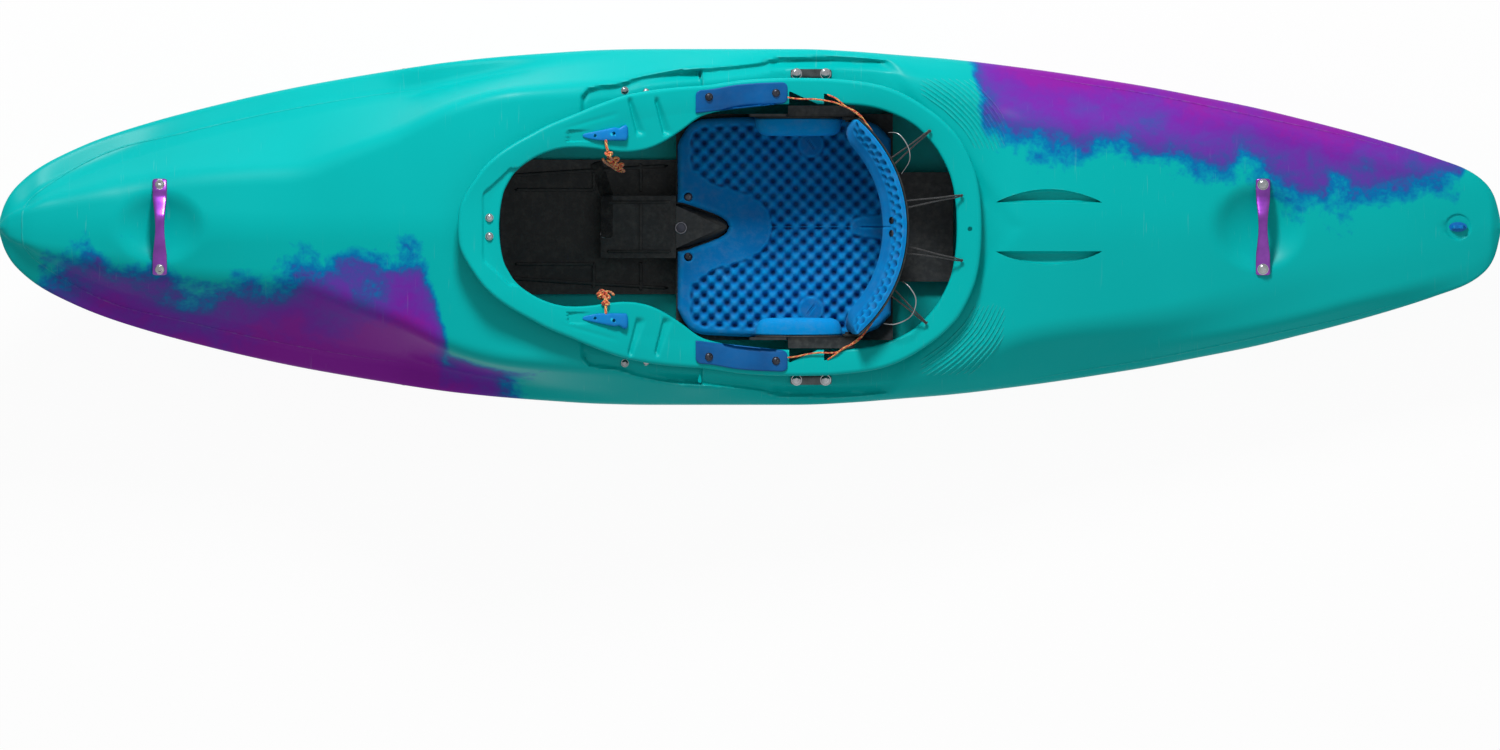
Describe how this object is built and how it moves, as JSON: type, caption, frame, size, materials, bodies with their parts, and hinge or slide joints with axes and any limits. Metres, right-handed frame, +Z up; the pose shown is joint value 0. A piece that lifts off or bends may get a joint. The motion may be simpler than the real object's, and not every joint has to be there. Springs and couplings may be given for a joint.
{
  "type": "whitewater kayak",
  "caption": "Short planing whitewater kayak with a high bow, keyhole cockpit, grab handles, padded seat, folding backband and sliding footrest.",
  "frame": {"origin": "under the middle of the hull, on the surface that it rests on", "axes": "-X towards the bow, +X towards the stern, +Y towards the paddler's right hand, +Z up"},
  "size_m": [2.745, 0.6514, 0.4284],
  "materials": {
    "shell_plastic": "gloss",
    "black_plastic": "matte",
    "purple_metal": "satin",
    "steel": "polished",
    "black_steel": "satin",
    "blue_foam": "matte",
    "grey_foam": "matte",
    "blue_plastic": "satin",
    "flap_plastic": "satin",
    "orange_cord": "matte",
    "black_cord": "matte"
  },
  "bodies": {
    "hull": {"hull_shell": "shell_plastic", "bow_grab_handle": "purple_metal", "bow_handle_bolt_starboard": "steel", "bow_handle_bolt_port": "steel", "stern_grab_handle": "purple_metal", "stern_handle_bolt_starboard": "steel", "stern_handle_bolt_port": "steel", "front_rim_bolt_starboard": "steel", "front_rim_bolt_port": "steel", "front_safety_bar": "steel", "brace_bolt_starboard_front": "steel", "brace_bolt_starboard_rear": "steel", "brace_bolt_port_front": "steel", "brace_bolt_port_rear": "steel", "side_plate_starboard": "steel", "side_plate_bolt_starboard_front": "steel", "side_plate_bolt_starboard_rear": "steel", "side_plate_port": "steel", "side_plate_bolt_port_front": "steel", "side_plate_bolt_port_rear": "steel", "foot_rail_starboard": "black_plastic", "foot_rail_bolt_starboard_front": "steel", "foot_rail_bolt_starboard_rear": "steel", "foot_rail_port": "black_plastic", "foot_rail_bolt_port_front": "steel", "foot_rail_bolt_port_rear": "steel", "bow_pillar": "grey_foam", "stern_pillar": "grey_foam", "front_floor": "black_plastic", "seat_pan": "black_plastic", "seat_pad": "blue_foam", "seat_screw_starboard": "black_steel", "seat_screw_port": "black_steel", "hip_pad_starboard": "blue_foam", "hip_pad_port": "blue_foam", "seat_flap_starboard": "flap_plastic", "seat_flap_bolt_starboard_front": "black_steel", "seat_flap_bolt_starboard_rear": "black_steel", "seat_flap_port": "flap_plastic", "seat_flap_bolt_port_front": "black_steel", "seat_flap_bolt_port_rear": "black_steel", "cord_cleat_starboard": "blue_plastic", "cord_cleat_port": "blue_plastic", "cord_tail_starboard": "orange_cord", "cord_tail_port": "orange_cord", "adjust_cord_starboard": "orange_cord", "adjust_cord_port": "orange_cord", "shock_cord_starboard_outer": "black_cord", "shock_cord_starboard_inner": "black_cord", "shock_cord_port_inner": "black_cord", "shock_cord_port_outer": "black_cord"},
    "footrest": {"footrest_plate": "black_plastic", "footrest_pad": "grey_foam"},
    "backband": {"backband_shell": "black_plastic", "backband_pad": "blue_foam", "backband_screw_starboard": "black_steel", "backband_screw_port": "black_steel"},
    "plug": {"drain_plug": "blue_plastic"}
  },
  "joints": [
    {"name": "backband_fold", "type": "hinge", "parent": "hull", "child": "backband", "pos_m": [0.1792, 0, 0.205], "axis": [0, -1, 0], "range_deg": [-6, 45], "deforming": ["adjust_cord_starboard", "adjust_cord_port", "shock_cord_starboard_outer", "shock_cord_starboard_inner", "shock_cord_port_inner", "shock_cord_port_outer"]},
    {"name": "footrest_slide", "type": "slide", "parent": "hull", "child": "footrest", "axis": [1, 0, 0], "range_m": [-0.06, 0.06]},
    {"name": "drain_plug_pull", "type": "slide", "parent": "hull", "child": "plug", "axis": [0, 0, 1], "range_m": [0, 0.03]}
  ]
}
